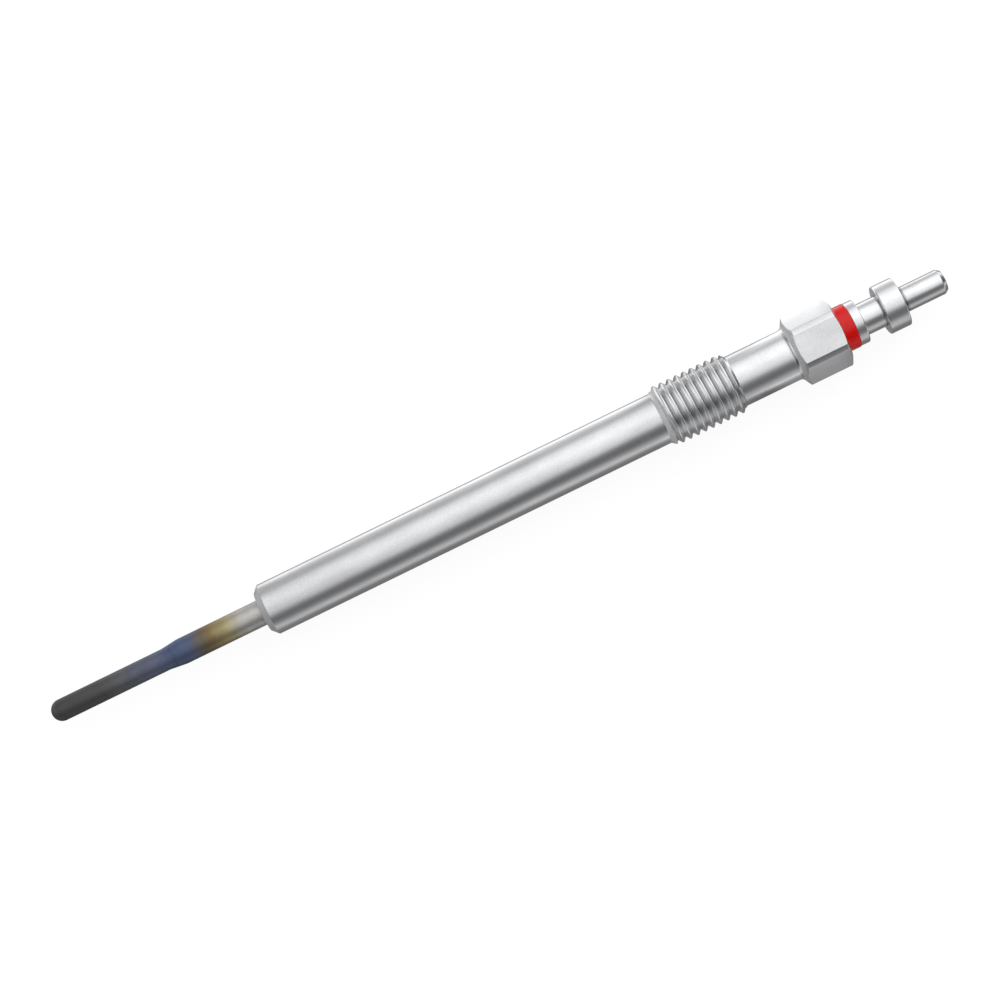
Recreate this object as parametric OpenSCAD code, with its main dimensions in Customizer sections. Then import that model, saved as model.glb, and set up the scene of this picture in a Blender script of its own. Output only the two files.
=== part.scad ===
// Sheathed-element diesel glow plug with an M8 x 1 thread and a push-on terminal.
// The plug lies along X with a hexagon flat underneath. The origin is on the axis, in the plane of
// the housing's end face: the glow tube reaches towards -X and the terminal towards +X.

/* [Glow tube] */
// Length of the tube that stands out of the housing
tube_reach = 28.1; // [26:0.1:34]
// Outside diameter of the tube where it leaves the housing
tube_d = 3.2; // [3.1:0.05:3.5]
// Outside diameter of the swaged tip
tip_d = 2.7; // [2.6:0.05:2.9]
// Length of the swaged tip, from its rounded end to the taper
tip_len = 15.2; // [12:0.1:20]
// Length of the taper between the tip and the tube
taper_len = 2.1; // [1:0.1:4]
// Wall of the tube
tube_wall = 0.4; // [0.3:0.02:0.44]
// Length of the tube that is pressed into the housing
tube_press = 16; // [10:0.5:24]

/* [Housing] */
// Diameter of the housing's shaft
shaft_d = 6.5; // [6.2:0.05:6.8]
// Length of the shaft from the end face to the thread
shaft_len = 53; // [45:0.1:70]
// Length of the plain shank between the thread and the hexagon
shank_len = 7.5; // [5:0.1:12]
// Diameter of the flat end face, inside the sealing cone
seat_face_d = 4.9; // [4:0.1:5.4]
// Included angle of the sealing cone
seat_angle = 93; // [85:1:120]
// Diameter of the bore around the centre rod
bore_d = 3.6; // [3.2:0.1:4]
// Diameter of the gland that holds the O-ring and the washer's spigot
gland_d = 4.4; // [4.2:0.1:4.8]

/* [Thread] */
// Diameter over the thread crests
thread_d = 7.6; // [7.5:0.05:7.9]
// Pitch of the thread
thread_pitch = 1; // [0.75:0.25:1.25]
// Depth of the thread
thread_depth = 0.45; // [0.4:0.01:0.5]
// Length of the thread
thread_len = 10.1; // [6:0.1:14]

/* [Hexagon] */
// Distance across the hexagon's flats
hex_af = 8; // [7.9:0.05:9]
// Length of the hexagon with its chamfers
hex_len = 6.4; // [5.5:0.1:9]
// Depth that is turned off the hexagon's sharp corners
hex_corner_cut = 0.21; // [0.1:0.01:0.3]
// Diameter of the flat face on the terminal side
hex_face_d = 7.2; // [6.6:0.1:7.6]
// Slope of the chamfer that rises from the shank, measured from a flat end
hex_lower_slope = 29; // [15:1:35]
// Slope of the chamfer on the terminal side, measured from a flat end
hex_upper_slope = 24; // [10:1:30]
// Radius of the fillet between the shank and the hexagon
hex_fillet_r = 0.7; // [0.2:0.05:1]

/* [Insulating washer] */
// Diameter of the washer's flange
washer_d = 5.7; // [5.2:0.1:6.6]
// Thickness of the washer's flange
washer_t = 1.6; // [1.2:0.1:2.6]
// Length of the washer's spigot in the gland
spigot_len = 2.2; // [1.2:0.1:2.6]

/* [Terminal] */
// Diameter of the flange that sits on the washer
flange_d = 5.55; // [5:0.05:6.2]
// Thickness of the flange
flange_t = 1.2; // [0.8:0.05:2]
// Diameter of the neck between flange and collar
neck_d = 4; // [3.6:0.05:4.4]
// Length of the neck
neck_len = 2.65; // [2:0.05:4]
// Diameter of the snap-on collar
collar_d = 6.2; // [5.6:0.05:7]
// Thickness of the collar
collar_t = 2.7; // [1.6:0.05:3.2]
// Diameter of the contact pin
pin_d = 3.2; // [3:0.05:3.5]
// Length of the contact pin from the collar
pin_len = 5.75; // [5:0.05:9]
// Length of the lead-in on the pin's end
pin_lead = 0.5; // [0.3:0.05:1]
// Depth of the lead-in on the pin's end
pin_lead_depth = 0.35; // [0.2:0.05:0.6]
// Depth of the blind bore that is pressed on the centre rod
terminal_bore_len = 4.6; // [4:0.1:5]

/* [Centre rod] */
// Diameter of the rod in the housing
rod_d = 2.2; // [1.9:0.05:2.4]
// Diameter of the rod inside the glow tube
rod_front_d = 1.5; // [1.3:0.05:1.6]
// Distance from the end of the glow tube to the step in the rod
rod_step_gap = 2; // [1:0.1:5]

/* [Coils] */
// Diameter of the wire in both coils
wire_d = 0.26; // [0.2:0.02:0.3]
// Mean diameter of both coils
coil_d = 1.15; // [1:0.05:1.2]
// Turns of the heating coil at the tip
heating_turns = 12; // [8:1:14]
// Pitch of the heating coil
heating_pitch = 0.6; // [0.5:0.02:0.7]
// Turns of the regulating coil behind it
regulating_turns = 12; // [8:1:14]
// Pitch of the regulating coil
regulating_pitch = 0.85; // [0.6:0.05:0.9]
// Turns of the regulating coil that sit on the rod's stub
stub_turns = 2; // [1:1:3]

/* [Seals and fits] */
// Length of the rubber seal in the open end of the glow tube
tube_seal_len = 2.5; // [1.5:0.1:4]
// Radial gap left at each assembled fit
fit_gap = 0.02; // [0.01:0.005:0.04]
// Size of the broken edge on turned and moulded pieces
edge_break = 0.18; // [0.1:0.02:0.25]

/* [Hidden] */
$fn = 96;

// Places along the axis
tip_x = -tube_reach;
thread_x = shaft_len;
hex_x = thread_x + thread_len + shank_len;
hex_end_x = hex_x + hex_len;
washer_end_x = hex_end_x + washer_t;
flange_end_x = washer_end_x + flange_t;
collar_x = flange_end_x + neck_len;
pin_x = collar_x + collar_t;
pin_end_x = pin_x + pin_len;
seal_x = tube_press - tube_seal_len;

// Sealing cone at the end of the housing
seat_len = (shaft_d - seat_face_d) / 2 / tan(seat_angle / 2);

// Thread with metric flanks, cut as a row of ridges
crest_flat = thread_pitch / 8;
flank_run = thread_depth * tan(30);
ridge_count = floor(thread_len / thread_pitch);
ridge_run = crest_flat + 2 * flank_run;

// Hexagon, and the depth that its fillet reaches into the shank
joint_depth = 0.2;
hex_sharp_r = hex_af / 2 / cos(30);
hex_corner_r = hex_sharp_r - hex_corner_cut;

// O-ring, which fills the gland between rod and housing
o_ring_d = (gland_d - rod_d) / 2 - 2 * fit_gap;
o_ring_mean_r = (gland_d + rod_d) / 4;
spigot_x = hex_end_x - spigot_len;
gland_x = spigot_x - o_ring_d - 2 * fit_gap;

// Coils, from the inside of the tip back to the rod's stub
wire_sides = 6;
rings_per_turn = 14;
weld_turns = 1;
heating_x = tip_x + tube_wall + wire_d;
regulating_x = heating_x + (weld_turns + heating_turns) * heating_pitch;
regulating_start = weld_turns + heating_turns + fit_gap / (PI * coil_d);
coil_end_x = regulating_x + regulating_turns * regulating_pitch;
stub_x = coil_end_x - stub_turns * regulating_pitch;
rod_front_x = coil_end_x + wire_d;
rod_step_x = tube_press + rod_step_gap;
rod_end_x = washer_end_x + terminal_bore_len - fit_gap;
stub_r = (coil_d - wire_d) / 2 - fit_gap;
coil_space_r = (coil_d + wire_d) / 2 + fit_gap;

// Turns a flat outline, drawn as [radius, place along the axis], about the plug's axis
module turned() {
    rotate([0, 90, 0]) rotate_extrude() children();
}

// Flat strip of an outline, from the axis or from an inner radius
module strip(x1, x2, r, r_in = 0) {
    translate([r_in, x1]) square([r - r_in, x2 - x1]);
}

// Half of the glow tube's outline, drawn in by the inset
module tube_outline(inset) {
    r_tip = tip_d / 2 - inset;
    r_tube = tube_d / 2 - inset;
    dome_x = tip_x + tip_d / 2;
    intersection() {
        translate([0, dome_x]) circle(r_tip);
        strip(tip_x, dome_x, tip_d);
    }
    polygon([[0, dome_x], [r_tip, dome_x], [r_tip, tip_x + tip_len],
             [r_tube, tip_x + tip_len + taper_len], [r_tube, tube_press], [0, tube_press]]);
}

// Points of one thread ridge that starts at x
function ridge(x) = [
    [thread_d / 2 - thread_depth, x],
    [thread_d / 2, x + flank_run],
    [thread_d / 2, x + flank_run + crest_flat],
    [thread_d / 2 - thread_depth, x + ridge_run]
];

module housing_outline() {
    ridges = [for (i = [0 : ridge_count - 1]) each ridge(thread_x + i * thread_pitch)];
    polygon(concat(
        [[0, 0], [seat_face_d / 2, 0], [shaft_d / 2, seat_len], [shaft_d / 2, thread_x]],
        ridges,
        [[shaft_d / 2, thread_x + ridge_count * thread_pitch], [shaft_d / 2, hex_end_x], [0, hex_end_x]]
    ));
    hex_fillet();
}

// Hollow between the shank and the rising chamfer of the hexagon, filled to a radius
module hex_fillet() {
    rise = 90 - hex_lower_slope;
    tangent = hex_fillet_r * tan(rise / 2);
    centre = [shaft_d / 2 + hex_fillet_r, hex_x - tangent];
    difference() {
        polygon([[shaft_d / 2 - joint_depth, hex_x - tangent], [shaft_d / 2 - joint_depth, hex_x + tangent],
                 [shaft_d / 2 + tangent * sin(rise), hex_x + tangent * cos(rise)], centre]);
        translate(centre) circle(hex_fillet_r);
    }
}

// Hexagon with a flat underneath. Its corners are turned down, and both ends are chamfered.
module hexagon() {
    lower_run = (hex_corner_r - shaft_d / 2) * tan(hex_lower_slope);
    upper_run = (hex_corner_r - hex_face_d / 2) * tan(hex_upper_slope);
    intersection() {
        rotate([0, 90, 0]) translate([0, 0, hex_x]) linear_extrude(hex_len)
            polygon([for (corner = [0 : 5]) hex_sharp_r * [cos(60 * corner + 30), sin(60 * corner + 30)]]);
        turned() polygon([[0, hex_x], [shaft_d / 2, hex_x],
                          [hex_corner_r, hex_x + lower_run], [hex_corner_r, hex_end_x - upper_run],
                          [hex_face_d / 2, hex_end_x], [0, hex_end_x]]);
    }
}

module housing() {
    color([0.76, 0.77, 0.79]) difference() {
        union() {
            turned() housing_outline();
            hexagon();
        }
        turned() {
            strip(-1, tube_press + fit_gap, tube_d / 2 + fit_gap);
            strip(tube_press, hex_end_x, bore_d / 2);
            strip(gland_x, hex_end_x + 1, gland_d / 2);
        }
    }
}

module glow_tube() {
    color([0.36, 0.38, 0.44]) turned() difference() {
        tube_outline(0);
        tube_outline(tube_wall);
    }
}

// Wire swept along a coil on the plug's axis. Over the first closing turns it opens out from the axis.
module coil(x, turns, pitch, start_turn = 0, closing_turns = 0) {
    function spread(t) = closing_turns > 0 ? min(1, t / closing_turns) : 1;
    function place(t) = let (r = coil_d / 2 * spread(t), a = 360 * (start_turn + t))
        [x + t * pitch, r * cos(a), r * sin(a)];
    function unit(v) = v / norm(v);
    function ring(t) = let (
            step = 0.02,
            along = unit(place(t + step) - place(t - step)),
            across = unit(cross(along, [1, 0, 0])),
            up = cross(across, along)
        ) [for (s = [0 : wire_sides - 1])
            place(t) + wire_d / 2 * (across * cos(360 * s / wire_sides) + up * sin(360 * s / wire_sides))];
    rings = ceil(turns * rings_per_turn);
    last = rings * wire_sides;
    points = [for (i = [0 : rings]) each ring(turns * i / rings)];
    skin = [for (i = [0 : rings - 1], s = [0 : wire_sides - 1])
        let (a = i * wire_sides, b = a + wire_sides, n = (s + 1) % wire_sides)
        each [[a + s, a + n, b + n], [a + s, b + n, b + s]]];
    front = [[for (s = [wire_sides - 1 : -1 : 0]) s]];
    back = [[for (s = [0 : wire_sides - 1]) last + s]];
    polyhedron(points, concat(skin, front, back));
}

module heating_coil() {
    color([0.55, 0.5, 0.45])
        coil(heating_x, weld_turns + heating_turns, heating_pitch, closing_turns = weld_turns);
}

module regulating_coil() {
    color([0.72, 0.68, 0.6])
        coil(regulating_x, regulating_turns, regulating_pitch, start_turn = regulating_start);
}

// Pressed insulating powder: a sleeve round the coils and the rod, and a core inside the coils
module magnesia_filling() {
    color([0.9, 0.89, 0.85]) turned() {
        difference() {
            intersection() {
                tube_outline(tube_wall + fit_gap);
                strip(tip_x, seal_x, tube_d);
            }
            strip(tip_x, rod_front_x, coil_space_r);
            strip(rod_front_x - fit_gap, seal_x + 1, rod_front_d / 2 + fit_gap);
        }
        strip(heating_x + weld_turns * heating_pitch + wire_d, stub_x - fit_gap, stub_r);
    }
}

module tube_seal() {
    color([0.2, 0.2, 0.2]) turned()
        strip(seal_x, tube_press, tube_d / 2 - tube_wall - fit_gap, rod_front_d / 2 + fit_gap);
}

module centre_rod() {
    color([0.66, 0.66, 0.66]) turned() {
        strip(stub_x, rod_front_x, stub_r);
        strip(rod_front_x, rod_step_x, rod_front_d / 2);
        strip(rod_step_x, rod_end_x, rod_d / 2);
    }
}

module o_ring() {
    color([0.12, 0.12, 0.12]) turned()
        translate([o_ring_mean_r, spigot_x - fit_gap - o_ring_d / 2]) circle(o_ring_d / 2);
}

module insulating_washer() {
    rod_hole_r = rod_d / 2 + fit_gap;
    spigot_r = gland_d / 2 - fit_gap;
    color([0.82, 0.06, 0.08]) turned()
        polygon([[rod_hole_r, spigot_x], [spigot_r, spigot_x], [spigot_r, hex_end_x],
                 [washer_d / 2, hex_end_x], [washer_d / 2, washer_end_x - edge_break],
                 [washer_d / 2 - edge_break, washer_end_x], [rod_hole_r, washer_end_x]]);
}

module terminal_pin() {
    color([0.8, 0.81, 0.83]) turned() difference() {
        polygon([[0, washer_end_x], [flange_d / 2, washer_end_x],
                 [flange_d / 2, flange_end_x - edge_break], [flange_d / 2 - edge_break, flange_end_x],
                 [neck_d / 2, flange_end_x], [neck_d / 2, collar_x],
                 [collar_d / 2 - edge_break, collar_x], [collar_d / 2, collar_x + edge_break],
                 [collar_d / 2, pin_x - edge_break], [collar_d / 2 - edge_break, pin_x],
                 [pin_d / 2, pin_x], [pin_d / 2, pin_end_x - pin_lead],
                 [pin_d / 2 - pin_lead_depth, pin_end_x], [0, pin_end_x]]);
        strip(washer_end_x - 1, washer_end_x + terminal_bore_len, rod_d / 2 + fit_gap);
    }
}

housing();
glow_tube();
heating_coil();
regulating_coil();
magnesia_filling();
tube_seal();
centre_rod();
o_ring();
insulating_washer();
terminal_pin();
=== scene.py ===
import math

import bmesh
import bpy
from mathutils import Matrix, Vector


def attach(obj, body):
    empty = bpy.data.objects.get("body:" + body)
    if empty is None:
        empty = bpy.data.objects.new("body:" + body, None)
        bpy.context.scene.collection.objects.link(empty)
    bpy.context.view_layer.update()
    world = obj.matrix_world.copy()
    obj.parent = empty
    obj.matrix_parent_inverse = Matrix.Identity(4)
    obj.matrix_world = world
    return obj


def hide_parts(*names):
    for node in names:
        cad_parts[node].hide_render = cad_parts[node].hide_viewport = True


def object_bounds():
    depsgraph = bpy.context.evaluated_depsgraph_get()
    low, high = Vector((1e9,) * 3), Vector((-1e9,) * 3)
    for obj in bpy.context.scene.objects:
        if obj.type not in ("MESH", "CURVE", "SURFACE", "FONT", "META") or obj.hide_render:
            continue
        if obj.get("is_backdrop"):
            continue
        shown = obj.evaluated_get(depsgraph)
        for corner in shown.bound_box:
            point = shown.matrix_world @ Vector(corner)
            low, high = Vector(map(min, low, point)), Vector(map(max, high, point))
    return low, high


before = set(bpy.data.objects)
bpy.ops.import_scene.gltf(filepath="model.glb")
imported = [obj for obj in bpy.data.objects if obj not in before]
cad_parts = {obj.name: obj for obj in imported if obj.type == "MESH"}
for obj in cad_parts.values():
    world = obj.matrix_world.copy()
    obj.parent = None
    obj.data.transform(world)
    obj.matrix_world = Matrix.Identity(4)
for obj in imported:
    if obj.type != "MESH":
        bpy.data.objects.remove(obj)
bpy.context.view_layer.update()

bpy.context.scene.view_settings.view_transform = "Standard"
mm = 0.001
print("frame loaded:", ", ".join(sorted(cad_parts)))


# Helpers for nodes

def paint(r, g, b):
    # a colour as it reads on a screen, 0 to 255, made linear for the shader
    def lift(c):
        c = c / 255
        return c / 12.92 if c <= 0.04045 else ((c + 0.055) / 1.055) ** 2.4
    return (lift(r), lift(g), lift(b), 1)


def addNode(tree, kind, **settings):
    node = tree.nodes.new(kind)
    for key, value in settings.items():
        setattr(node, key, value)
    return node


def feed(tree, socket, value):
    # value is another node's socket or a plain value
    if isinstance(value, bpy.types.NodeSocket):
        tree.links.new(value, socket)
    else:
        socket.default_value = value


def sums(tree, operation, *values):
    node = addNode(tree, "ShaderNodeMath", operation=operation)
    for i, value in enumerate(values):
        feed(tree, node.inputs[i], value)
    return node.outputs[0]


def plus(tree, a, b):
    return sums(tree, "ADD", a, b)


def minus(tree, a, b):
    return sums(tree, "SUBTRACT", a, b)


def times(tree, a, b):
    return sums(tree, "MULTIPLY", a, b)


def mixOf(tree, a, b, shareOfA):
    return plus(tree, times(tree, a, shareOfA), times(tree, b, 1 - shareOfA))


def spread(tree, value, low, high, toLow, toHigh):
    # lays low to high over toLow to toHigh, and holds what lies outside at the ends
    node = addNode(tree, "ShaderNodeMapRange")
    names = ("Value", "From Min", "From Max", "To Min", "To Max")
    for name, given in zip(names, (value, low, high, toLow, toHigh)):
        feed(tree, node.inputs[name], given)
    return node.outputs["Result"]


def rampOf(tree, place, stops):
    # stops are (place from 0 to 1, colour)
    node = addNode(tree, "ShaderNodeValToRGB")
    elements = node.color_ramp.elements
    while len(elements) < len(stops):
        elements.new(0.5)
    for element, (spot, colour) in zip(elements, stops):
        element.position = spot
        element.color = colour
    feed(tree, node.inputs["Fac"], place)
    return node.outputs["Color"]


def byPlace(tree, value, table, scale=1.0):
    # a number looked up by place in a table of (place, number), held at the ends
    first, last = table[0][0], table[-1][0]
    numbers = [number for place, number in table]
    low, reach = min(numbers), max(numbers) - min(numbers)
    stops = []
    for place, number in table:
        tone = (number - low) / reach
        stops.append(((place - first) / (last - first), (tone, tone, tone, 1)))
    looked = rampOf(tree, spread(tree, value, first * scale, last * scale, 0, 1), stops)
    return plus(tree, low, times(tree, looked, reach))


def blendColours(tree, share, a, b, mode="MIX"):
    # a Mix node has its colours in inputs 6 and 7 and in output 2
    node = addNode(tree, "ShaderNodeMix", data_type="RGBA", blend_type=mode)
    for i, given in ((0, share), (6, a), (7, b)):
        feed(tree, node.inputs[i], given)
    return node.outputs[2]


def placeOf(tree, kind="Object"):
    # x, y and z of the place on the piece, or in the world of the direction
    coords = addNode(tree, "ShaderNodeTexCoord")
    parts = addNode(tree, "ShaderNodeSeparateXYZ")
    tree.links.new(coords.outputs[kind], parts.inputs[0])
    return parts.outputs


# the part of its range that most of a noise fills, and the middle of that, for more contrast
noiseSpan = (0.3, 0.7)
noiseCore = (0.35, 0.65)


def grain(tree, size, detail=3, roughness=0.6, shift=0.0):
    # noise on object coordinates; size is the grain in millimetres along x, y and z
    coords = addNode(tree, "ShaderNodeTexCoord")
    mapping = addNode(tree, "ShaderNodeMapping")
    mapping.inputs["Scale"].default_value = [1 / (s * mm) for s in size]
    mapping.inputs["Location"].default_value = (shift, shift, shift)
    tree.links.new(coords.outputs["Object"], mapping.inputs["Vector"])
    noise = addNode(tree, "ShaderNodeTexNoise")
    noise.inputs["Scale"].default_value = 1
    noise.inputs["Detail"].default_value = detail
    noise.inputs["Roughness"].default_value = roughness
    tree.links.new(mapping.outputs["Vector"], noise.inputs["Vector"])
    return noise.outputs["Fac"]


# Finishes

def newFinish(name):
    material = bpy.data.materials.new(name)
    material.use_nodes = True
    tree = material.node_tree
    return material, tree, tree.nodes["Principled BSDF"]


def addBump(tree, shader, height, depth):
    bump = addNode(tree, "ShaderNodeBump")
    bump.inputs["Distance"].default_value = depth * mm
    tree.links.new(height, bump.inputs["Height"])
    tree.links.new(bump.outputs["Normal"], shader.inputs["Normal"])


def finishAndShadePlaces(tree, places):
    # Each place is a stretch of x, in millimetres. From the first to the second value of grow, along x, or
    # of radius it builds up to full strength. Its shade multiplies the colour. A plain place mirrors less.
    # on some places the shade is a duller finish, and in the roots it is painted shade
    x, y, z = placeOf(tree)
    radius = sums(tree, "SQRT", plus(tree, times(tree, y, y), times(tree, z, z)))
    shade, plain = 1.0, None
    for place in places.values():
        low, high = place["x"]
        here = times(tree, sums(tree, "GREATER_THAN", x, low * mm), sums(tree, "LESS_THAN", x, high * mm))
        for key, measure in (("grow", x), ("radius", radius)):
            if key in place:
                none, full = place[key]
                here = times(tree, here, spread(tree, measure, none * mm, full * mm, 0, 1))
        shade = minus(tree, shade, times(tree, here, 1 - place["shade"]))
        if place["plain"]:
            plain = here if plain is None else plus(tree, plain, here)
    return shade, plain


satinLook = {
    "bright": (0.82, 0.825, 0.84, 1), "dull": (0.71, 0.715, 0.73, 1),
    "markPitch": 0.09, "markLength": 4.0, "cloudSize": 2.6, "speckSize": 0.18,
    "cloudShare": 0.6, "markShare": 0.5, "speckHeight": 0.5, "markDepth": 0.0007,
    "roughLow": 0.16, "roughHigh": 0.27, "plainRough": 0.42, "plainMetal": 0.3,
}


def satinSteel(name, look, places):
    # plated steel with fine marks round the axis, a little cloudy
    material, tree, shader = newFinish(name)
    cloud = look["cloudSize"]
    marks = grain(tree, (look["markPitch"], look["markLength"], look["markLength"]))
    clouds = grain(tree, (2 * cloud, cloud, cloud), roughness=0.55, shift=7.3)
    specks = grain(tree, (look["speckSize"],) * 3, detail=2, roughness=0.5, shift=3.1)
    worn = mixOf(tree, clouds, specks, look["cloudShare"])
    tint = blendColours(tree, spread(tree, worn, *noiseCore, 0, 1), look["bright"], look["dull"])
    uneven = mixOf(tree, marks, worn, look["markShare"])
    rough = spread(tree, uneven, *noiseSpan, look["roughLow"], look["roughHigh"])
    metal = 1.0
    # the places darken the colour: a duller finish on some, painted shade in the roots on others
    shade, plain = finishAndShadePlaces(tree, places)
    if plain is not None:
        rough = sums(tree, "MAXIMUM", rough, times(tree, plain, look["plainRough"]))
        metal = spread(tree, plain, 0, 1, 1, look["plainMetal"])
    tree.links.new(blendColours(tree, 1.0, tint, shade, "MULTIPLY"), shader.inputs["Base Color"])
    tree.links.new(rough, shader.inputs["Roughness"])
    feed(tree, shader.inputs["Metallic"], metal)
    addBump(tree, shader, plus(tree, marks, times(tree, specks, look["speckHeight"])), look["markDepth"])
    return material


tintLook = {
    # colour of the heated sheath by distance from the housing, in millimetres
    "stops": [
        (-28.1, (82, 82, 83)), (-21.1, (88, 88, 89)), (-19.1, (102, 103, 107)), (-14.3, (103, 109, 132)),
        (-11.6, (91, 105, 139)), (-9.6, (93, 105, 135)), (-7.9, (117, 108, 92)), (-6.8, (144, 124, 88)),
        (-4.6, (189, 177, 134)), (-2.3, (208, 207, 204)), (0.0, (209, 208, 205)),
    ],
    "drift": 0.25, "driftSize": 1.6,       # the colours wander this far along the tube
    "coatedFrom": -9.5, "bareTo": -4.0, "coatedMetal": 0.5, "bareMetal": 1.0,       # oxide towards the tip
    "drawMark": 0.12, "cloudSize": (1.2, 0.9, 0.9), "markShare": 0.4, "shadeLow": 0.86, "shadeHigh": 1.1,
    "roughLow": 0.4, "roughHigh": 0.52, "markDepth": 0.002,
}


def heatTint(name, look):
    # nickel alloy that ran hot: steel grey, straw, brown, blue and then dark grey towards the tip
    material, tree, shader = newFinish(name)
    drift, mark = look["drift"] * mm, look["drawMark"]
    wander = spread(tree, grain(tree, (look["driftSize"],) * 3), *noiseSpan, -drift, drift)
    along = plus(tree, placeOf(tree)[0], wander)
    first, last = look["stops"][0][0], look["stops"][-1][0]
    stops = [((x - first) / (last - first), paint(*colour)) for x, colour in look["stops"]]
    tone = rampOf(tree, spread(tree, along, first * mm, last * mm, 0, 1), stops)
    marks = grain(tree, (3 * mark, mark, mark), shift=5.0)
    clouds = grain(tree, look["cloudSize"], detail=4, shift=9.0)
    uneven = mixOf(tree, marks, clouds, look["markShare"])
    shade = spread(tree, uneven, *noiseSpan, look["shadeLow"], look["shadeHigh"])
    rough = spread(tree, marks, *noiseSpan, look["roughLow"], look["roughHigh"])
    coated, bare = look["coatedFrom"] * mm, look["bareTo"] * mm
    metal = spread(tree, along, coated, bare, look["coatedMetal"], look["bareMetal"])
    tree.links.new(blendColours(tree, 1.0, tone, shade, "MULTIPLY"), shader.inputs["Base Color"])
    tree.links.new(rough, shader.inputs["Roughness"])
    tree.links.new(metal, shader.inputs["Metallic"])
    addBump(tree, shader, marks, look["markDepth"])
    return material


mouldedLook = {
    "bright": paint(246, 9, 7), "deep": paint(238, 5, 4), "mottle": 0.5,
    "roughLow": 0.09, "roughHigh": 0.14, "gloss": 0.36, "grainSize": 0.08, "grainDepth": 0.001,
}


def mouldedRed(name, look):
    # glass-filled moulding, slightly mottled
    material, tree, shader = newFinish(name)
    mottle = grain(tree, (look["mottle"],) * 3, detail=4)
    tint = blendColours(tree, spread(tree, mottle, *noiseCore, 0, 1), look["deep"], look["bright"])
    rough = spread(tree, mottle, *noiseSpan, look["roughLow"], look["roughHigh"])
    tree.links.new(tint, shader.inputs["Base Color"])
    tree.links.new(rough, shader.inputs["Roughness"])
    shader.inputs["Specular IOR Level"].default_value = look["gloss"]
    fine = grain(tree, (look["grainSize"],) * 3, detail=2, roughness=0.5, shift=2.0)
    addBump(tree, shader, fine, look["grainDepth"])
    return material


innerLooks = {
    "drawnWire": {
        "light": paint(176, 166, 152), "dark": paint(138, 128, 116), "metal": 1.0,
        "rough": (0.3, 0.45), "size": (0.3, 0.05, 0.05), "depth": 0.001},
    "drawnRod": {
        "light": paint(190, 190, 188), "dark": paint(160, 160, 158), "metal": 1.0,
        "rough": (0.3, 0.4), "size": (4.0, 0.1, 0.1), "depth": 0.001},
    "pressedMagnesia": {
        "light": paint(240, 238, 230), "dark": paint(218, 215, 204), "metal": 0.0,
        "rough": (0.85, 0.95), "size": (0.15, 0.15, 0.15), "depth": 0.01},
    "mouldedRubber": {
        "light": paint(44, 44, 45), "dark": paint(30, 30, 31), "metal": 0.0,
        "rough": (0.55, 0.7), "size": (0.3, 0.3, 0.3), "depth": 0.004},
}


def innerFinish(name):
    look = innerLooks[name]
    material, tree, shader = newFinish(name)
    fine = grain(tree, look["size"])
    tint = blendColours(tree, spread(tree, fine, *noiseCore, 0, 1), look["dark"], look["light"])
    tree.links.new(tint, shader.inputs["Base Color"])
    tree.links.new(spread(tree, fine, *noiseSpan, *look["rough"]), shader.inputs["Roughness"])
    shader.inputs["Metallic"].default_value = look["metal"]
    addBump(tree, shader, fine, look["depth"])
    return material


# Turned shapes

# in millimetres and degrees: vertices this close are one, thinner faces go, and steeper edges are sharp
meshLimits = {"weld": 0.0002, "threadWeld": 0.0003, "sliver": 0.00005, "sharpAngle": 40}
supportShare = 0.3       # of the rounding: how far a supporting point stands off it


def corner(x, radius, rounding=0, steps=0):
    return Vector((x, radius)), rounding, steps


def roundedPath(corners, closed=False):
    # a rounded corner becomes an arc with a supporting point on either side, which keeps its shading there
    points = []
    count = len(corners)
    for i, (here, rounding, steps) in enumerate(corners):
        if rounding == 0 or (not closed and i in (0, count - 1)):
            points.append(here)
            continue
        back = (corners[i - 1][0] - here).normalized()
        ahead = (corners[(i + 1) % count][0] - here).normalized()
        half = back.angle(ahead) / 2
        reach = rounding / math.tan(half)
        support = reach + supportShare * rounding
        centre = here + (back + ahead).normalized() * (rounding / math.sin(half))
        start, end = here + back * reach, here + ahead * reach
        turn = math.pi - 2 * half
        points.append(here + back * support)
        for step in range(steps + 1):
            share = step / steps
            fromStart, fromEnd = math.sin(turn * (1 - share)), math.sin(turn * share)
            offset = (start - centre) * fromStart + (end - centre) * fromEnd
            points.append(centre + offset / math.sin(turn))
        points.append(here + ahead * support)
    return points


def spinPaths(paths, angles, closed=False):
    # one path for each column round the axis, and for each of its points an angle
    made = bmesh.new()
    rings = []
    for path, turns in zip(paths, angles):
        ring = []
        for point, turn in zip(path, turns):
            x, radius = point * mm
            ring.append(made.verts.new((x, radius * math.cos(turn), radius * math.sin(turn))))
        rings.append(ring)
    columns, rows = len(rings), len(rings[0])
    for i in range(columns):
        here, following = rings[i], rings[(i + 1) % columns]
        for j in range(rows if closed else rows - 1):
            k = (j + 1) % rows
            made.faces.new((here[j], following[j], following[k], here[k]))
    return made


def finishMesh(name, made, finish):
    bmesh.ops.remove_doubles(made, verts=made.verts, dist=meshLimits["weld"] * mm)
    bmesh.ops.dissolve_degenerate(made, dist=meshLimits["sliver"] * mm, edges=made.edges)
    bmesh.ops.recalc_face_normals(made, faces=made.faces)
    mesh = bpy.data.meshes.new(name)
    made.to_mesh(mesh)
    made.free()
    mesh.shade_smooth()
    mesh.set_sharp_from_angle(angle=math.radians(meshLimits["sharpAngle"]))
    mesh.materials.clear()
    mesh.materials.append(finish)
    piece = bpy.data.objects.new(name, mesh)
    bpy.context.scene.collection.objects.link(piece)
    return piece


def turnedPiece(name, corners, columns, finish, closed=False):
    path = roundedPath(corners, closed)
    angles = [[2 * math.pi * i / columns] * len(path) for i in range(columns)]
    return finishMesh(name, spinPaths([path] * columns, angles, closed), finish)


def standFor(piece, node):
    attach(piece, "root")
    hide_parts(node)


# Geometry node trees

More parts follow.
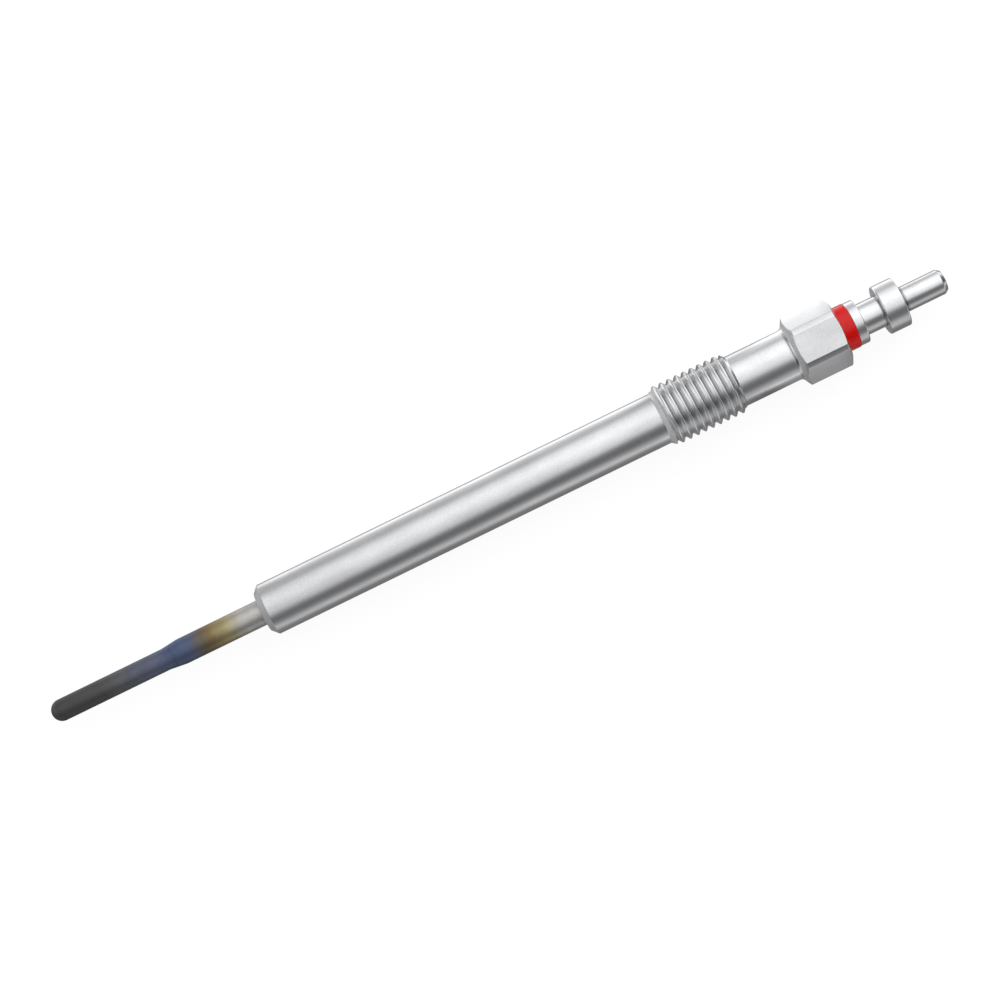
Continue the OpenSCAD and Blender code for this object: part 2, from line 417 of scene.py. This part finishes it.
def newTree(name, inputs):
    tree = bpy.data.node_groups.new(name, "GeometryNodeTree")
    for label, kind, default in inputs:
        socket = tree.interface.new_socket(name=label, in_out="INPUT", socket_type="NodeSocket" + kind)
        socket.default_value = default
    tree.interface.new_socket(name="Geometry", in_out="OUTPUT", socket_type="NodeSocketGeometry")
    return tree, addNode(tree, "NodeGroupInput").outputs, addNode(tree, "NodeGroupOutput").inputs


def positionIn(tree):
    parts = addNode(tree, "ShaderNodeSeparateXYZ")
    tree.links.new(addNode(tree, "GeometryNodeInputPosition").outputs[0], parts.inputs[0])
    return parts.outputs


def wrapRound(tree, geometry, along, radius, turns):
    # puts each point at its place along the axis and round it
    angle = times(tree, turns, 2 * math.pi)
    spot = addNode(tree, "ShaderNodeCombineXYZ")
    tree.links.new(along, spot.inputs[0])
    tree.links.new(times(tree, radius, sums(tree, "COSINE", angle)), spot.inputs[1])
    tree.links.new(times(tree, radius, sums(tree, "SINE", angle)), spot.inputs[2])
    wrap = addNode(tree, "GeometryNodeSetPosition")
    tree.links.new(geometry, wrap.inputs["Geometry"])
    tree.links.new(spot.outputs[0], wrap.inputs["Position"])
    return wrap.outputs[0]


def endTree(tree, geometry, finish, output):
    realize = addNode(tree, "GeometryNodeRealizeInstances")
    coat = addNode(tree, "GeometryNodeSetMaterial")
    coat.inputs["Material"].default_value = finish
    tree.links.new(geometry, realize.inputs[0])
    tree.links.new(realize.outputs[0], coat.inputs[0])
    tree.links.new(coat.outputs[0], output)


def runTree(name, tree, values):
    # evaluates the tree on an empty mesh and hands back the plain mesh
    holder = bpy.data.objects.new(name, bpy.data.meshes.new(name + "Seed"))
    bpy.context.scene.collection.objects.link(holder)
    modifier = holder.modifiers.new(name, "NODES")
    modifier.node_group = tree
    for item in tree.interface.items_tree:
        if item.in_out == "INPUT" and item.name in values:
            modifier[item.identifier] = values[item.name]
    depsgraph = bpy.context.evaluated_depsgraph_get()
    mesh = bpy.data.meshes.new_from_object(holder.evaluated_get(depsgraph))
    holder.modifiers.clear()
    bpy.data.objects.remove(holder)
    return mesh


def threadTree(finish):
    # right-hand thread: a sheet of fine rows, sheared by one pitch per turn and wrapped round the axis
    tree, given, out = newTree("cutThread", [
        ("Pitch", "Float", 0.001), ("Crest Radius", "Float", 0.0039), ("Depth", "Float", 0.00054),
        ("Start", "Float", 0.0), ("Length", "Float", 0.01), ("End Radius", "Float", 0.00325),
        ("Lead In", "Float", 1.0), ("Run Out", "Float", 1.0), ("Phase", "Float", 0.0),
        ("Softness", "Float", 0.3), ("Root Half", "Float", 0.1), ("Crest Half", "Float", 0.05),
        ("Pitches", "Int", 14), ("Pitches Before", "Int", 2),
        ("Rows", "Int", 253), ("Columns", "Int", 217)])
    sheet = addNode(tree, "GeometryNodeMeshGrid")       # one metre square round the origin
    tree.links.new(given["Rows"], sheet.inputs["Vertices X"])
    tree.links.new(given["Columns"], sheet.inputs["Vertices Y"])
    x, y, z = positionIn(tree)
    row = minus(tree, times(tree, plus(tree, x, 0.5), given["Pitches"]), given["Pitches Before"])
    turn = plus(tree, y, 0.5)
    # height of the form from its root, 0 to 1: straight flanks, rounded a little
    fromRoot = minus(tree, 0.5, sums(tree, "ABSOLUTE", minus(tree, sums(tree, "FRACT", row), 0.5)))
    flank = spread(tree, fromRoot, given["Root Half"], minus(tree, 0.5, given["Crest Half"]), 0.0, 1.0)
    eased = times(tree, times(tree, flank, flank), minus(tree, 3.0, times(tree, flank, 2.0)))
    height = plus(tree, flank, times(tree, given["Softness"], minus(tree, eased, flank)))
    root = minus(tree, given["Crest Radius"], given["Depth"])
    radius = plus(tree, root, times(tree, given["Depth"], height))
    # the ends run out in cones, and rows past an end fall together there
    along = times(tree, given["Pitch"], plus(tree, plus(tree, row, turn), given["Phase"]))
    fromStart = sums(tree, "MINIMUM", sums(tree, "MAXIMUM", along, 0.0), given["Length"])
    fromEnd = minus(tree, given["Length"], fromStart)
    for distance, slope in ((fromStart, given["Lead In"]), (fromEnd, given["Run Out"])):
        cone = plus(tree, given["End Radius"], times(tree, distance, slope))
        radius = sums(tree, "MINIMUM", radius, cone)
    wrapped = wrapRound(tree, sheet.outputs["Mesh"], plus(tree, given["Start"], fromStart), radius, turn)
    weld = addNode(tree, "GeometryNodeMergeByDistance")
    weld.inputs["Distance"].default_value = meshLimits["threadWeld"] * mm
    tree.links.new(wrapped, weld.inputs["Geometry"])
    endTree(tree, weld.outputs[0], finish, out["Geometry"])
    return tree


def coilTree(finish):
    # wire wound along the axis; over the closing turns it opens out from the weld on the axis
    fewestTurns = 0.001       # with fewer closing turns than this it doesn't open out
    tree, given, out = newTree("woundWire", [
        ("Start", "Float", 0.0), ("Turns", "Float", 10.0), ("Pitch", "Float", 0.0006),
        ("Coil Radius", "Float", 0.0006), ("Wire Radius", "Float", 0.00013),
        ("Closing Turns", "Float", 0.0), ("First Turn", "Float", 0.0),
        ("Points", "Int", 300), ("Wire Sides", "Int", 10)])
    line = addNode(tree, "GeometryNodeCurvePrimitiveLine")
    line.inputs["End"].default_value = (1, 0, 0)
    fine = addNode(tree, "GeometryNodeResampleCurve")
    tree.links.new(line.outputs[0], fine.inputs["Curve"])
    tree.links.new(given["Points"], fine.inputs["Count"])
    turn = times(tree, positionIn(tree)[0], given["Turns"])
    closing = given["Closing Turns"]
    opening = sums(tree, "DIVIDE", turn, sums(tree, "MAXIMUM", closing, fewestTurns))
    opening = sums(tree, "MINIMUM", 1.0, opening)
    opening = sums(tree, "MAXIMUM", opening, sums(tree, "LESS_THAN", closing, fewestTurns))
    radius = times(tree, given["Coil Radius"], opening)
    along = plus(tree, given["Start"], times(tree, turn, given["Pitch"]))
    wound = wrapRound(tree, fine.outputs[0], along, radius, plus(tree, turn, given["First Turn"]))
    section = addNode(tree, "GeometryNodeCurvePrimitiveCircle")
    tree.links.new(given["Wire Radius"], section.inputs["Radius"])
    tree.links.new(given["Wire Sides"], section.inputs["Resolution"])
    sweep = addNode(tree, "GeometryNodeCurveToMesh")
    sweep.inputs["Fill Caps"].default_value = True
    tree.links.new(wound, sweep.inputs["Curve"])
    tree.links.new(section.outputs[0], sweep.inputs["Profile Curve"])
    endTree(tree, sweep.outputs[0], finish, out["Geometry"])
    return tree


# Housing

housing = {
    "shaftRadius": 3.25, "seatFaceRadius": 2.45, "seatLength": 0.76, "seatEdge": 0.12,
    "threadStart": 53.0, "threadLength": 10.1, "threadPitch": 1.0, "crestRadius": 3.84, "threadDepth": 0.48,
    "leadIn": 0.8, "runOut": 1.1, "threadPhase": 0.28, "threadSoftness": 0.3,
    "rootHalf": 0.02, "crestHalf": 0.08, "pitchesBefore": 2, "pitchesAfter": 1, "rowsPerPitch": 18,
    "hexStart": 70.6, "hexEnd": 77.0, "acrossFlats": 8.0, "cornerRadius": 4.41, "faceRadius": 3.6,
    "lowerSlope": 29, "upperSlope": 24, "fillet": 0.7, "filletSteps": 6,
    "edge": 0.08, "edgeSteps": 3, "cornerEdge": 0.05, "columnsPerFlat": 26, "columnsPerCorner": 6,
    "glandRadius": 2.2, "glandStart": 73.7, "boreRadius": 1.8, "boreEdge": 0.06, "boreSteps": 2,
    "tubeBoreRadius": 1.62, "tubeBoreLength": 16.02,
}
halfSide = math.radians(30)       # half the angle that a side of the hexagon takes up


def housingPlaces(h):
    # where the finish differs: the cones are plainer and the hexagon is duller, and the thread's roots get
    # painted shade
    threadStart, threadEnd = h["threadStart"], h["threadStart"] + h["threadLength"]
    root = h["crestRadius"] - h["threadDepth"]
    coneEnd = h["hexStart"] + 0.44       # just past where the cone meets the flats
    return {
        "seat": {"x": (-0.1, h["seatLength"] + 0.02), "shade": 0.74, "plain": True},
        "leadIn": {"x": (threadStart, threadStart + 0.7), "shade": 0.98, "plain": True},
        # painted shade in the thread's roots, growing darker towards the root radius
        "threadRootShade": {
            "x": (threadStart + 0.2, threadEnd - 0.1), "radius": (root + 0.16, root),
            "shade": 0.85, "plain": False},
        "hexCone": {"x": (h["hexStart"], coneEnd), "shade": 0.82, "plain": True},
        "hexagon": {"x": (coneEnd, h["hexEnd"] + 0.1), "shade": 0.94, "plain": False},
    }


def hexColumns(h):
    # (angle, radius) of each column round the hexagon, whose corners are turned to a circle; columns close
    # by the corners' edges keep them crisp
    half, cornerRadius = h["acrossFlats"] / 2, h["cornerRadius"]
    edge = halfSide - math.acos(half / cornerRadius)
    crisp = h["cornerEdge"] / cornerRadius
    flat, fine = h["columnsPerFlat"] // 2, h["columnsPerCorner"]
    flatStep, cornerStep = (halfSide - edge - crisp) / flat, 2 * (edge - crisp) / fine
    turns = [-halfSide + flatStep * i for i in range(flat + 1)] + [-edge]
    turns += [-edge + crisp + cornerStep * i for i in range(fine + 1)] + [edge]
    turns += [edge + crisp + flatStep * i for i in range(flat)]
    columns = []
    for side in range(6):
        for turn in turns:
            radius = min(cornerRadius, half / math.cos(halfSide - abs(turn)))
            columns.append((2 * halfSide * side + turn, radius))
    return columns


def makeThread(h, columns, finish):
    pitches = math.ceil(h["threadLength"] / h["threadPitch"]) + h["pitchesBefore"] + h["pitchesAfter"]
    thread = runTree("cutThread", threadTree(finish), {
        "Pitch": h["threadPitch"] * mm, "Crest Radius": h["crestRadius"] * mm,
        "Depth": h["threadDepth"] * mm, "Start": h["threadStart"] * mm,
        "Length": h["threadLength"] * mm, "End Radius": h["shaftRadius"] * mm,
        "Lead In": h["leadIn"], "Run Out": h["runOut"], "Phase": h["threadPhase"],
        "Softness": h["threadSoftness"], "Root Half": h["rootHalf"], "Crest Half": h["crestHalf"],
        "Pitches": pitches, "Pitches Before": h["pitchesBefore"],
        "Rows": pitches * h["rowsPerPitch"] + 1, "Columns": columns + 1})
    thread.transform(Matrix.Rotation(-halfSide, 4, "X"))
    return thread


def makeHousing(h, finish):
    shaft, face, gland = h["shaftRadius"], h["faceRadius"], h["glandRadius"]
    hexStart, hexEnd = h["hexStart"], h["hexEnd"]
    threadStart, threadEnd = h["threadStart"], h["threadStart"] + h["threadLength"]
    edge, edgeSteps, boreEdge, boreSteps = h["edge"], h["edgeSteps"], h["boreEdge"], h["boreSteps"]
    lower, upper = math.tan(math.radians(h["lowerSlope"])), math.tan(math.radians(h["upperSlope"]))
    bored = roundedPath([
        corner(h["glandStart"], gland), corner(h["glandStart"], h["boreRadius"]),
        corner(h["tubeBoreLength"], h["boreRadius"]), corner(h["tubeBoreLength"], h["tubeBoreRadius"]),
        corner(0, h["tubeBoreRadius"], boreEdge, boreSteps),
        corner(0, h["seatFaceRadius"], edge, boreSteps),
        corner(h["seatLength"], shaft, h["seatEdge"], edgeSteps),
        corner(threadStart - edge, shaft), corner(threadStart, shaft)])[1:]
    hexed = hexColumns(h)
    paths, angles = [], []
    for i, (turn, radius) in enumerate(hexed):
        outer = roundedPath([
            corner(threadEnd, shaft), corner(threadEnd + edge, shaft),
            corner(hexStart, shaft, h["fillet"], h["filletSteps"]),
            corner(hexStart + (radius - shaft) * lower, radius, edge, edgeSteps),
            corner(hexEnd - (radius - face) * upper, radius, edge, edgeSteps),
            corner(hexEnd, face, edge, boreSteps), corner(hexEnd, gland, boreEdge, boreSteps),
            corner(h["glandStart"], gland)])
        even = 2 * math.pi * i / len(hexed) - halfSide       # the thread and the bore have even columns
        paths.append(outer + bored)
        angles.append([even] + [turn] * (len(outer) - 1) + [even] * len(bored))
    made = spinPaths(paths, angles)
    thread = makeThread(h, len(hexed), finish)
    made.from_mesh(thread)
    bpy.data.meshes.remove(thread)
    return finishMesh("housingBody", made, finish)


housingFinish = satinSteel("satinHousing", satinLook, housingPlaces(housing))
housingBody = makeHousing(housing, housingFinish)
standFor(housingBody, "housing")
print("housing made:", len(housingBody.data.polygons), "faces")


# Glow tube

glowTube = {
    "tip": -28.1, "tipRadius": 1.35, "domeSteps": 20,
    "taperStart": -12.9, "taperEnd": -10.8, "taperRounding": 3.0, "taperSteps": 4,
    "radius": 1.6, "end": 16.0, "wall": 0.4, "endEdge": 0.08, "endSteps": 2, "columns": 120,
}


def tubeDome(g, inset):
    # quarter circle from the axis to the side of the tip
    radius, centre = g["tipRadius"] - inset, g["tip"] + g["tipRadius"]
    turns = [math.pi / 2 * i / g["domeSteps"] for i in range(g["domeSteps"] + 1)]
    return [corner(centre - radius * math.cos(turn), radius * math.sin(turn)) for turn in turns]


def tubeWall(g, inset):
    # from the tip to the open end
    rounding, steps = g["taperRounding"], g["taperSteps"]
    return tubeDome(g, inset) + [
        corner(g["taperStart"], g["tipRadius"] - inset, rounding, steps),
        corner(g["taperEnd"], g["radius"] - inset, rounding, steps),
        corner(g["end"], g["radius"] - inset, g["endEdge"], g["endSteps"])]


tubeFinish = heatTint("heatTintedSheath", tintLook)
tubeCorners = tubeWall(glowTube, 0) + tubeWall(glowTube, glowTube["wall"])[::-1]
tubePiece = turnedPiece("glowTube", tubeCorners, glowTube["columns"], tubeFinish)
standFor(tubePiece, "glow_tube")
print("glow tube made:", len(tubePiece.data.polygons), "faces")


# Insulating washer

washer = {
    "start": 77.0, "end": 78.6, "radius": 2.85, "edge": 0.16, "edgeSteps": 4,
    "spigotStart": 74.8, "spigotRadius": 2.18, "spigotEdge": 0.1,
    "holeRadius": 1.12, "fineEdge": 0.06, "fineSteps": 2, "columns": 144,
}


def washerCorners(w):
    start, end, hole, spigot = w["start"], w["end"], w["holeRadius"], w["spigotRadius"]
    fine = (w["fineEdge"], w["fineSteps"])
    return [
        corner(w["spigotStart"], hole, *fine),
        corner(w["spigotStart"], spigot, w["spigotEdge"], w["fineSteps"]),
        corner(start, spigot), corner(start, w["radius"], *fine),
        corner(end, w["radius"], w["edge"], w["edgeSteps"]), corner(end, hole, *fine)]


washerFinish = mouldedRed("redMoulding", mouldedLook)
washerPiece = turnedPiece(
    "insulatingWasher", washerCorners(washer), washer["columns"], washerFinish, closed=True)
standFor(washerPiece, "insulating_washer")


# Terminal

terminal = {
    "start": 78.6, "flangeRadius": 2.775, "flangeEnd": 79.8, "neckRadius": 2.0,
    "collarStart": 82.45, "collarRadius": 3.1, "collarEnd": 85.15,
    "pinRadius": 1.6, "pinEnd": 90.9,
    "leadLength": 0.5, "leadDepth": 0.35, "leadEdge": 0.2, "endEdge": 0.12,
    "boreRadius": 1.12, "boreEnd": 83.2, "fineEdge": 0.06, "fineSteps": 2,
    "edge": 0.16, "edgeSteps": 4, "rootFillet": 0.12, "rootSteps": 3, "columns": 144,
}
terminalLook = {**satinLook, "markPitch": 0.07, "cloudSize": 1.6, "roughLow": 0.15, "roughHigh": 0.25}


def terminalPlaces(t):
    # painted shade in the roots on either side of the collar
    start, end = t["collarStart"], t["collarEnd"]
    return {
        "neckRootShade": {
            "x": (start - 0.35, start - 0.01), "grow": (start - 0.25, start - 0.07),
            "shade": 0.45, "plain": False},
        "pinRootShade": {
            "x": (end + 0.01, end + 0.65), "grow": (end + 0.61, end + 0.35),
            "shade": 0.35, "plain": False},
    }


def terminalCorners(t):
    neck, collar, pin = t["neckRadius"], t["collarRadius"], t["pinRadius"]
    fine = (t["fineEdge"], t["fineSteps"])
    edge = (t["edge"], t["edgeSteps"])
    root = (t["rootFillet"], t["rootSteps"])
    return [
        corner(t["boreEnd"], 0), corner(t["boreEnd"], t["boreRadius"]),
        corner(t["start"], t["boreRadius"], *fine),
        corner(t["start"], t["flangeRadius"], *fine), corner(t["flangeEnd"], t["flangeRadius"], *edge),
        corner(t["flangeEnd"], neck, *root), corner(t["collarStart"], neck, *root),
        corner(t["collarStart"], collar, *edge), corner(t["collarEnd"], collar, *edge),
        corner(t["collarEnd"], pin, *root),
        corner(t["pinEnd"] - t["leadLength"], pin, t["leadEdge"], t["rootSteps"]),
        corner(t["pinEnd"], pin - t["leadDepth"], t["endEdge"], t["rootSteps"]), corner(t["pinEnd"], 0)]


terminalFinish = satinSteel("satinTerminal", terminalLook, terminalPlaces(terminal))
terminalPiece = turnedPiece("terminalPin", terminalCorners(terminal), terminal["columns"], terminalFinish)
standFor(terminalPiece, "terminal_pin")
print("washer and terminal made")


# Coils

coils = {
    "heatingCoil": {
        "node": "heating_coil", "slot": "heating_wire",
        "start": -27.44, "turns": 13, "pitch": 0.6, "closing": 1.0, "first": 0.0},
    "regulatingCoil": {
        "node": "regulating_coil", "slot": "regulating_wire",
        "start": -19.64, "turns": 12, "pitch": 0.85, "closing": 0.0, "first": 0.0055},
}
coilWire = {"coilRadius": 0.575, "wireRadius": 0.13, "wireSides": 10, "pointsPerTurn": 28}


def makeCoil(name, c, wire, tree, finish):
    mesh = runTree(name, tree, {
        "Start": c["start"] * mm, "Turns": float(c["turns"]), "Pitch": c["pitch"] * mm,
        "Coil Radius": wire["coilRadius"] * mm, "Wire Radius": wire["wireRadius"] * mm,
        "Closing Turns": c["closing"], "First Turn": c["first"],
        "Points": c["turns"] * wire["pointsPerTurn"] + 1, "Wire Sides": wire["wireSides"]})
    made = bmesh.new()
    made.from_mesh(mesh)
    bpy.data.meshes.remove(mesh)
    piece = finishMesh(name, made, finish)
    standFor(piece, c["node"])


wireFinish = innerFinish("drawnWire")
wireTree = coilTree(wireFinish)
for coilName, coil in coils.items():
    makeCoil(coilName, coil, coilWire, wireTree, wireFinish)


# Inner pieces that keep their CAD shape

rubberFinish = innerFinish("mouldedRubber")
innerFinishes = {
    "magnesia_filling": innerFinish("pressedMagnesia"), "centre_rod": innerFinish("drawnRod"),
    "tube_seal": rubberFinish, "o_ring": rubberFinish,
}
for nodeName, nodeFinish in innerFinishes.items():
    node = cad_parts[nodeName]
    node.data.materials.clear()
    node.data.materials.append(nodeFinish)
print("inner pieces made, finishes:", len(bpy.data.materials))


# Camera

cameraView = {
    "axisAngle": 26.0,       # slope of the plug in the picture
    "lean": 0.5,             # the camera stands this far off straight above, in degrees
    "middle": 31.48,         # place on the axis at the middle of the picture
    "side": 0.39,            # and the middle's distance from the axis
    "distance": 324.0, "pictureWidth": 120.0,
    "sensor": 36, "clip": (0.01, 20),
}


def placeCamera(v):
    lean, slope = math.radians(v["lean"]), math.radians(v["axisAngle"])
    toCamera = Vector((0, -math.sin(lean), math.cos(lean)))
    axis = Vector((1, 0, 0))
    across = toCamera.cross(axis)
    right = axis * math.cos(slope) - across * math.sin(slope)
    up = axis * math.sin(slope) + across * math.cos(slope)
    target = (axis * v["middle"] - across * v["side"]) * mm
    data = bpy.data.cameras.new("camera")
    data.sensor_width = v["sensor"]
    data.lens = v["sensor"] * v["distance"] / v["pictureWidth"]
    data.clip_start, data.clip_end = v["clip"]
    camera = bpy.data.objects.new("camera", data)
    turned = Matrix((right, up, toCamera)).transposed().to_4x4()
    camera.matrix_world = Matrix.Translation(target + toCamera * v["distance"] * mm) @ turned
    bpy.context.scene.collection.objects.link(camera)
    bpy.context.scene.camera = camera


placeCamera(cameraView)


# Studio

studio = {
    # brightness of the surroundings by the angle round the plug: 0 is overhead, positive is towards -y
    "bands": [
        (-180, 0.55), (-150, 0.95), (-130, 1.05), (-110, 0.62), (-97, 0.55), (-85, 0.6), (-70, 0.93),
        (-55, 1.12), (-40, 1.2), (-25, 1.15), (-10, 0.97), (5, 0.83), (15, 0.66), (25, 0.3), (35, 0.15),
        (55, 0.13), (65, 0.2), (75, 0.36), (90, 0.48), (100, 0.48), (113, 0.36), (127, 0.14), (147, 0.22),
        (180, 0.55)],
    # by the direction along the plug, where -1 is towards the glow tube: the share of the bands overhead and
    # low down, the light added, and the turn of the bands
    "share": [
        (-1, 1.1), (-0.8, 0.95), (-0.6, 0.35), (-0.3, 0.35), (-0.15, 0.65), (-0.05, 0.9), (0, 0.9),
        (0.1, 1.15), (0.25, 1.2), (0.6, 1.45), (0.75, 1.2), (0.9, 0.2), (1, 0.1)],
    "lowShare": [
        (-1, 1.7), (-0.4, 1.8), (-0.1, 1.2), (-0.05, 1.5), (0.1, 1.05), (0.25, 1.5), (0.55, 2), (1, 1.6)],
    "lowFrom": 45.0, "lowTo": 62.0,
    "fill": [(-1, 0), (-0.3, 0), (-0.15, 0.12), (-0.05, 0.01), (0.01, 0.04), (0.05, 0), (1, 0)],
    "turn": [(-1, -8), (-0.3, -8), (-0.15, -14), (-0.05, -12), (0.05, -5), (0.1, -2), (0.3, 4), (1, 4)],
    "skyWhite": 0.97,
}
# a pale sheet that reads as white with a faint shadow; in the metal it shows a painted shadow on its near
# side and painted light on its far side
floorSheet = {
    "size": 3.0, "colour": (0.92, 0.92, 0.92, 1), "shade": (0.17, 0.17, 0.17, 1), "glow": 0.91,
    # in millimetres, the painted light and shade that the metal sees on it: by place across, and by place
    # along on the far and near side
    "across": [
        (-60, 0.6), (-27, 0.57), (-20, 0.4), (-13, 0.25), (-7.7, 0.2), (-6, 0.2), (0, 0.3), (5.2, 0.34),
        (6.7, 0.95), (7.6, 1.38), (9, 1.43), (11.7, 1.04), (15.7, 0.82), (22, 0.72), (38, 0.63),
        (60, 0.63)],
    "far": [
        (-40, 0.9), (-10, 0.9), (-1, 0.75), (3, 0.9), (49, 1.04), (52, 1.0), (54, 0.68), (62, 0.62),
        (64, 0.85), (67, 0.88), (70.5, 1.34), (77, 1.34), (79, 1.1), (95, 1.05)],
    "near": [
        (-40, 0.9), (-2, 0.88), (0, 1.0), (52, 1.0), (54, 1.25), (62, 1.25), (64, 0.9), (67, 0.72),
        (70, 1.36), (77, 1.36), (79, 1.0), (95, 0.95), (110, 0.8)],
}


def chosen(tree, choice, ifNot, ifSo):
    # ifNot where choice is 0, ifSo where it is 1, and a blend between
    return plus(tree, ifNot, times(tree, choice, minus(tree, ifSo, ifNot)))


def makeWorld(s):
    world = bpy.data.worlds.new("studio")
    world.use_nodes = True
    bpy.context.scene.world = world
    tree = world.node_tree
    along, y, z = placeOf(tree, "Generated")
    angle = sums(tree, "ARCTAN2", times(tree, y, -1.0), z)
    degrees = plus(tree, sums(tree, "DEGREES", angle), byPlace(tree, along, s["turn"]))
    low = spread(tree, degrees, s["lowFrom"], s["lowTo"], 0, 1)
    share = chosen(tree, low, byPlace(tree, along, s["share"]), byPlace(tree, along, s["lowShare"]))
    tone = times(tree, byPlace(tree, degrees, s["bands"]), share)
    tone = plus(tree, tone, byPlace(tree, along, s["fill"]))
    seen = addNode(tree, "ShaderNodeLightPath").outputs["Is Camera Ray"]
    back = tree.nodes["Background"]
    back.inputs["Color"].default_value = (1, 1, 1, 1)
    tree.links.new(chosen(tree, seen, tone, s["skyWhite"]), back.inputs["Strength"])


def sheetFinish(s):
    material = bpy.data.materials.new("paleFloor")
    material.use_nodes = True
    tree = material.node_tree
    tree.nodes.clear()
    plain = addNode(tree, "ShaderNodeBsdfDiffuse")
    plain.inputs["Color"].default_value = s["colour"]
    shaded = addNode(tree, "ShaderNodeBsdfDiffuse")
    shaded.inputs["Color"].default_value = s["shade"]
    glow = addNode(tree, "ShaderNodeEmission")
    glow.inputs["Strength"].default_value = s["glow"]
    white = addNode(tree, "ShaderNodeAddShader")
    tree.links.new(shaded.outputs[0], white.inputs[0])
    tree.links.new(glow.outputs[0], white.inputs[1])
    x, y, z = placeOf(tree)
    far = sums(tree, "GREATER_THAN", y, 0.0)
    lengthwise = chosen(tree, far, byPlace(tree, x, s["near"], mm), byPlace(tree, x, s["far"], mm))
    # glow seen only in metal: painted shadow by the plug and painted light on its far side
    paintedLightAndShade = addNode(tree, "ShaderNodeEmission")
    tree.links.new(times(tree, byPlace(tree, y, s["across"], mm), lengthwise), paintedLightAndShade.inputs["Strength"])
    path = addNode(tree, "ShaderNodeLightPath").outputs
    inMetal = sums(tree, "MAXIMUM", path["Is Glossy Ray"], path["Is Transmission Ray"])
    below = plain
    for share, shown in ((inMetal, paintedLightAndShade), (path["Is Camera Ray"], white)):
        mix = addNode(tree, "ShaderNodeMixShader")
        tree.links.new(share, mix.inputs[0])
        tree.links.new(below.outputs[0], mix.inputs[1])
        tree.links.new(shown.outputs[0], mix.inputs[2])
        below = mix
    tree.links.new(below.outputs[0], addNode(tree, "ShaderNodeOutputMaterial").inputs["Surface"])
    return material


def makeFloor(s):
    half, low = s["size"] / 2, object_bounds()[0].z
    corners = [(-half, -half, low), (half, -half, low), (half, half, low), (-half, half, low)]
    mesh = bpy.data.meshes.new("floor")
    mesh.from_pydata(corners, [], [(0, 1, 2, 3)])
    mesh.materials.append(sheetFinish(s))
    floor = bpy.data.objects.new("floor", mesh)
    bpy.context.scene.collection.objects.link(floor)
    floor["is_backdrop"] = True


makeWorld(studio)
makeFloor(floorSheet)
print("camera and studio made")
